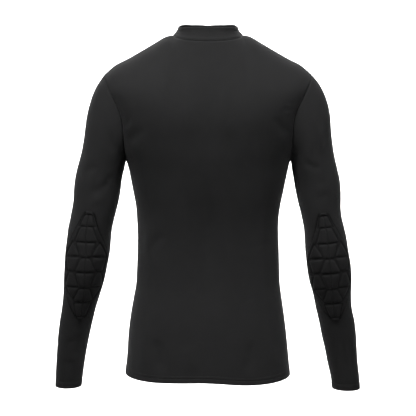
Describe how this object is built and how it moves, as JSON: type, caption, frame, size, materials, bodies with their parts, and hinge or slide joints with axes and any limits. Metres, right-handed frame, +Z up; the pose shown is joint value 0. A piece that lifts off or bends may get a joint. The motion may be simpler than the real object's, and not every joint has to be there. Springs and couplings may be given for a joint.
{
  "type": "padded compression shirt",
  "caption": "Long-sleeved close-fitting knit shirt with a stand-up collar and quilted elbow pads, filled out as worn and hollow.",
  "frame": {"origin": "middle of the neck opening, level with the tops of the shoulder seams, where the wearer's neck and shoulders hold the shirt", "axes": "+Z up out of the neck opening, +Y towards the wearer's back, +X towards the wearer's left"},
  "size_m": [0.6256, 0.2355, 0.7453],
  "materials": {
    "front_cloth": "matt fine knit, near black",
    "back_cloth": "matt fine knit, near black",
    "left_sleeve_cloth": "matt fine knit, near black",
    "right_sleeve_cloth": "matt fine knit, near black",
    "collar_cloth": "matt fine knit, near black",
    "left_pad_cloth": "smooth quilted cloth over foam, black",
    "right_pad_cloth": "smooth quilted cloth over foam, black"
  },
  "bodies": {
    "root": {"front_panel": "front_cloth", "back_panel": "back_cloth", "sleeve_left": "left_sleeve_cloth", "sleeve_right": "right_sleeve_cloth", "collar": "collar_cloth", "elbow_pad_left": "left_pad_cloth", "elbow_pad_right": "right_pad_cloth"}
  },
  "joints": []
}
